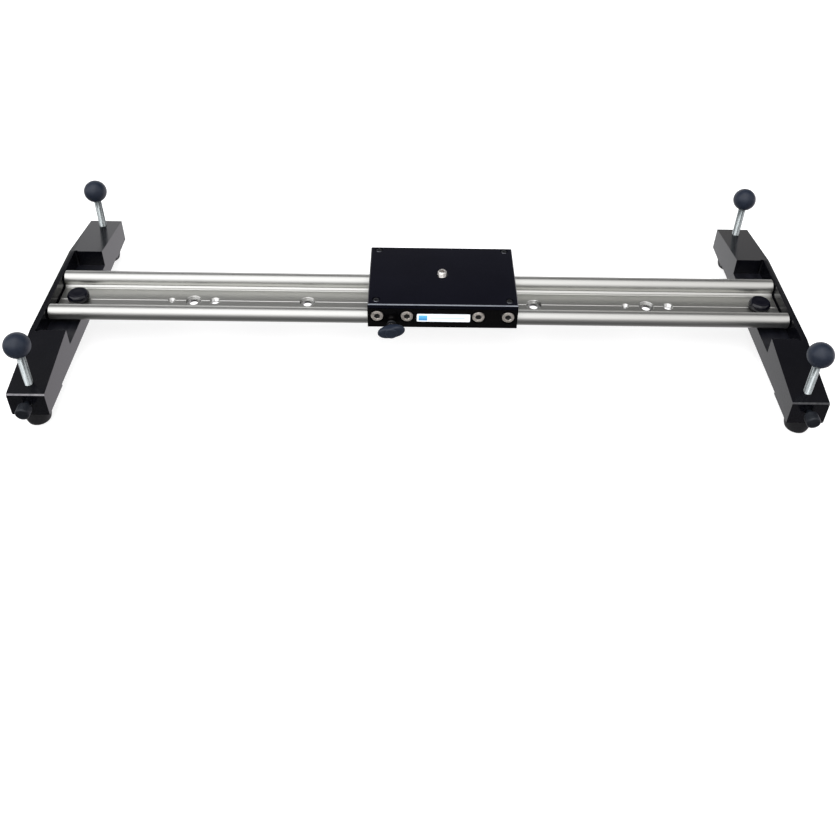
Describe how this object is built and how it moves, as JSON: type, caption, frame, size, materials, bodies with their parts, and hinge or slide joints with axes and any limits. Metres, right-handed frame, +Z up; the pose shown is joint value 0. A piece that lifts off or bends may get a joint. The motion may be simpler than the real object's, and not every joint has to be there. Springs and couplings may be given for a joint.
{
  "type": "camera slider",
  "caption": "Twin-tube aluminium slider rail on two levelling end legs, with a lockable bearing carriage and a camera stud on its top plate.",
  "frame": {"origin": "on the surface the feet stand on, under the middle of the whole outline", "axes": "+X along the rail towards the right end, -Y the front with the label and the lock knob, +Z up"},
  "size_m": [0.7742, 0.3106, 0.1072],
  "materials": {
    "anodised_silver": "satin anodised, fine drawing lines along the rail",
    "anodised_black": "black anodised, fine matte grain",
    "carriage_black": "black anodised, semi-gloss top",
    "gloss_black": "glossy moulded",
    "black_steel": "black oxide, straight knurl on the thumb screws",
    "nylon": "natural nylon",
    "zinc": "bright zinc plated, threaded",
    "charcoal_plastic": "moulded charcoal thermoplastic, satin",
    "rubber": "matte moulded rubber",
    "bearing_polymer": "self lubricating polymer",
    "brass": "turned",
    "label": "smooth printed plate, blank",
    "nickel": "nickel plated, lightly mottled"
  },
  "bodies": {
    "base": {"rail": "anodised_silver", "leg_left": "anodised_black", "leg_right": "anodised_black"},
    "carriage": {"bearing_block_front_left": "carriage_black", "bearing_block_front_right": "carriage_black", "bearing_block_rear_left": "carriage_black", "bearing_block_rear_right": "carriage_black", "bearing_liner_front_left": "bearing_polymer", "bearing_liner_front_right": "bearing_polymer", "bearing_liner_rear_left": "bearing_polymer", "bearing_liner_rear_right": "bearing_polymer", "camera_stud": "nickel", "camera_stud_nut": "zinc", "carriage_front_bar": "carriage_black", "carriage_rear_bar": "carriage_black", "carriage_top_plate": "carriage_black", "label_plate": "label", "lock_bush": "nickel", "side_screw_front_1": "nickel", "side_screw_front_2": "nickel", "side_screw_front_3": "nickel", "side_screw_front_4": "nickel", "side_screw_rear_1": "nickel", "side_screw_rear_2": "nickel", "side_screw_rear_3": "nickel", "side_screw_rear_4": "nickel", "top_screw_front_left": "black_steel", "top_screw_front_right": "black_steel", "top_screw_rear_left": "black_steel", "top_screw_rear_right": "black_steel"},
    "lock_pad": {"brake_pad": "brass"},
    "lock_knob_body": {"lock_knob": "charcoal_plastic", "lock_screw": "nickel"},
    "clamp_washer_body_left": {"clamp_washer_left": "black_steel"},
    "clamp_knob_body_left": {"clamp_knob_left": "gloss_black", "clamp_bolt_left": "black_steel"},
    "clamp_washer_body_right": {"clamp_washer_right": "black_steel"},
    "clamp_knob_body_right": {"clamp_knob_right": "gloss_black", "clamp_bolt_right": "black_steel"},
    "foot_front_left": {"foot_pad_front_left": "rubber"},
    "foot_rod_front_left": {"levelling_rod_front_left": "zinc", "ball_knob_front_left": "charcoal_plastic"},
    "thumb_tip_front_left": {"thumb_screw_tip_front_left": "nylon"},
    "thumb_front_left": {"thumb_screw_front_left": "black_steel"},
    "foot_rear_left": {"foot_pad_rear_left": "rubber"},
    "foot_rod_rear_left": {"levelling_rod_rear_left": "zinc", "ball_knob_rear_left": "charcoal_plastic"},
    "foot_front_right": {"foot_pad_front_right": "rubber"},
    "foot_rod_front_right": {"levelling_rod_front_right": "zinc", "ball_knob_front_right": "charcoal_plastic"},
    "thumb_tip_front_right": {"thumb_screw_tip_front_right": "nylon"},
    "thumb_front_right": {"thumb_screw_front_right": "black_steel"},
    "foot_rear_right": {"foot_pad_rear_right": "rubber"},
    "foot_rod_rear_right": {"levelling_rod_rear_right": "zinc", "ball_knob_rear_right": "charcoal_plastic"}
  },
  "joints": [
    {"name": "carriage_slide", "type": "slide", "parent": "base", "child": "carriage", "axis": [1, 0, 0], "range_m": [-0.326, 0.283]},
    {"name": "lock_pad_slide", "type": "slide", "parent": "carriage", "child": "lock_pad", "axis": [0, -1, 0], "range_m": [0, 0.0008]},
    {"name": "lock_knob_turn", "type": "hinge", "parent": "lock_pad", "child": "lock_knob_body", "pos_m": [-0.0297, -0.04515, 0.057], "axis": [0, -1, 0], "range_deg": [0, 360]},
    {"name": "clamp_lift_left", "type": "slide", "parent": "base", "child": "clamp_washer_body_left", "axis": [0, 0, 1], "range_m": [0, 0.01]},
    {"name": "clamp_knob_turn_left", "type": "hinge", "parent": "clamp_washer_body_left", "child": "clamp_knob_body_left", "pos_m": [-0.36, 0.00785, 0.0459], "axis": [0, 0, 1], "range_deg": [0, 3600]},
    {"name": "clamp_lift_right", "type": "slide", "parent": "base", "child": "clamp_washer_body_right", "axis": [0, 0, 1], "range_m": [0, 0.01]},
    {"name": "clamp_knob_turn_right", "type": "hinge", "parent": "clamp_washer_body_right", "child": "clamp_knob_body_right", "pos_m": [0.36, 0.00785, 0.0459], "axis": [0, 0, 1], "range_deg": [0, 3600]},
    {"name": "foot_travel_front_left", "type": "slide", "parent": "base", "child": "foot_front_left", "axis": [0, 0, 1], "range_m": [-0.0325, 0]},
    {"name": "foot_turn_front_left", "type": "hinge", "parent": "foot_front_left", "child": "foot_rod_front_left", "pos_m": [-0.3696, -0.12495, 0.05], "axis": [0, 0, 1], "range_deg": [-9360, 0]},
    {"name": "thumb_travel_front_left", "type": "slide", "parent": "base", "child": "thumb_tip_front_left", "axis": [0, -1, 0], "range_m": [0, 0.004]},
    {"name": "thumb_turn_front_left", "type": "hinge", "parent": "thumb_tip_front_left", "child": "thumb_front_left", "pos_m": [-0.3696, -0.13955, 0.0344], "axis": [0, -1, 0], "range_deg": [0, 1440]},
    {"name": "foot_travel_rear_left", "type": "slide", "parent": "base", "child": "foot_rear_left", "axis": [0, 0, 1], "range_m": [-0.0325, 0]},
    {"name": "foot_turn_rear_left", "type": "hinge", "parent": "foot_rear_left", "child": "foot_rod_rear_left", "pos_m": [-0.3696, 0.14305, 0.05], "axis": [0, 0, 1], "range_deg": [-9360, 0]},
    {"name": "foot_travel_front_right", "type": "slide", "parent": "base", "child": "foot_front_right", "axis": [0, 0, 1], "range_m": [-0.0325, 0]},
    {"name": "foot_turn_front_right", "type": "hinge", "parent": "foot_front_right", "child": "foot_rod_front_right", "pos_m": [0.3696, -0.12495, 0.05], "axis": [0, 0, 1], "range_deg": [-9360, 0]},
    {"name": "thumb_travel_front_right", "type": "slide", "parent": "base", "child": "thumb_tip_front_right", "axis": [0, -1, 0], "range_m": [0, 0.004]},
    {"name": "thumb_turn_front_right", "type": "hinge", "parent": "thumb_tip_front_right", "child": "thumb_front_right", "pos_m": [0.3696, -0.13955, 0.0344], "axis": [0, -1, 0], "range_deg": [0, 1440]},
    {"name": "foot_travel_rear_right", "type": "slide", "parent": "base", "child": "foot_rear_right", "axis": [0, 0, 1], "range_m": [-0.0325, 0]},
    {"name": "foot_turn_rear_right", "type": "hinge", "parent": "foot_rear_right", "child": "foot_rod_rear_right", "pos_m": [0.3696, 0.14305, 0.05], "axis": [0, 0, 1], "range_deg": [-9360, 0]}
  ],
  "couplings": [
    {"joint": "lock_knob_turn", "follows": "lock_pad_slide", "rad_per_m": 7854},
    {"joint": "clamp_knob_turn_left", "follows": "clamp_lift_left", "rad_per_m": 6283.2},
    {"joint": "clamp_knob_turn_right", "follows": "clamp_lift_right", "rad_per_m": 6283.2},
    {"joint": "foot_turn_front_left", "follows": "foot_travel_front_left", "rad_per_m": 5026.5},
    {"joint": "thumb_turn_front_left", "follows": "thumb_travel_front_left", "rad_per_m": 6283.2},
    {"joint": "foot_turn_rear_left", "follows": "foot_travel_rear_left", "rad_per_m": 5026.5},
    {"joint": "foot_turn_front_right", "follows": "foot_travel_front_right", "rad_per_m": 5026.5},
    {"joint": "thumb_turn_front_right", "follows": "thumb_travel_front_right", "rad_per_m": 6283.2},
    {"joint": "foot_turn_rear_right", "follows": "foot_travel_rear_right", "rad_per_m": 5026.5}
  ]
}
